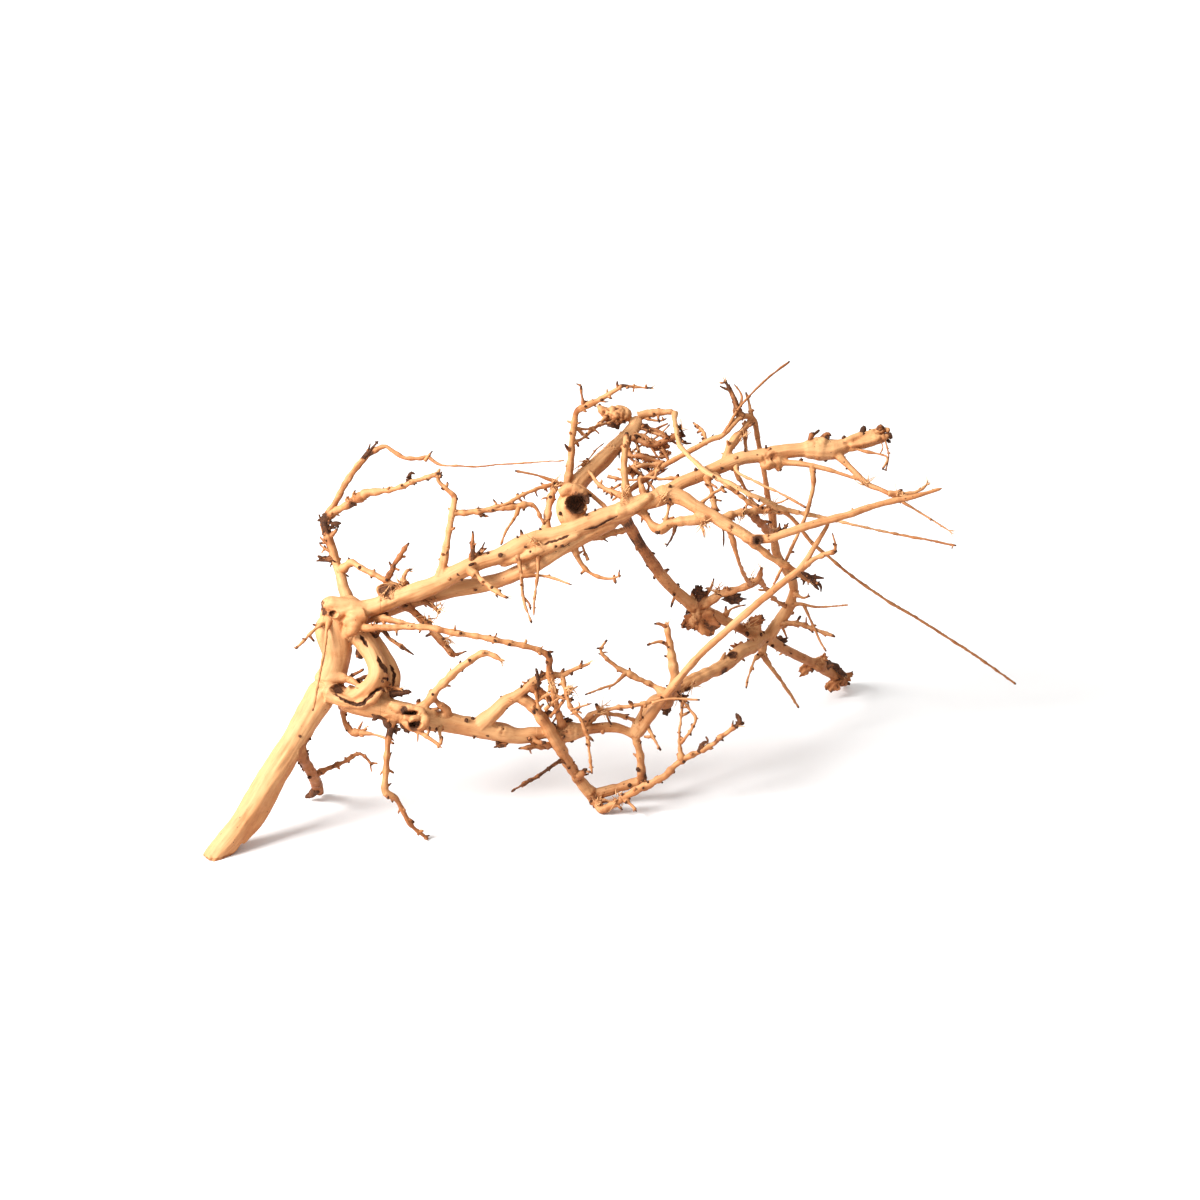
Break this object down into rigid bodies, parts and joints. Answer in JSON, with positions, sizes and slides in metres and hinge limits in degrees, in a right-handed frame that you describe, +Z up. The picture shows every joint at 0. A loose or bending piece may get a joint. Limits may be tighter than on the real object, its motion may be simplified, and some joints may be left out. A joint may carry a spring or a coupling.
{
  "type": "dry root",
  "caption": "Dry branching root with a sawn trunk end, gnarled limbs, knots and a tangle of thin twigs, standing on its sawn end and on its twig tips.",
  "frame": {"origin": "centre of the sawn trunk end, at floor level", "axes": "+X along the root from the sawn end towards the far twig tips, +Z up, -Z the way the sawn end faces, -Y the front"},
  "size_m": [0.8179, 0.3504, 0.424],
  "materials": {
    "wood": "bare, barkless, dry wood, pale honey with dark brown bark left at knots and tips"
  },
  "bodies": {
    "root": {"dry_root": "wood"}
  },
  "joints": []
}
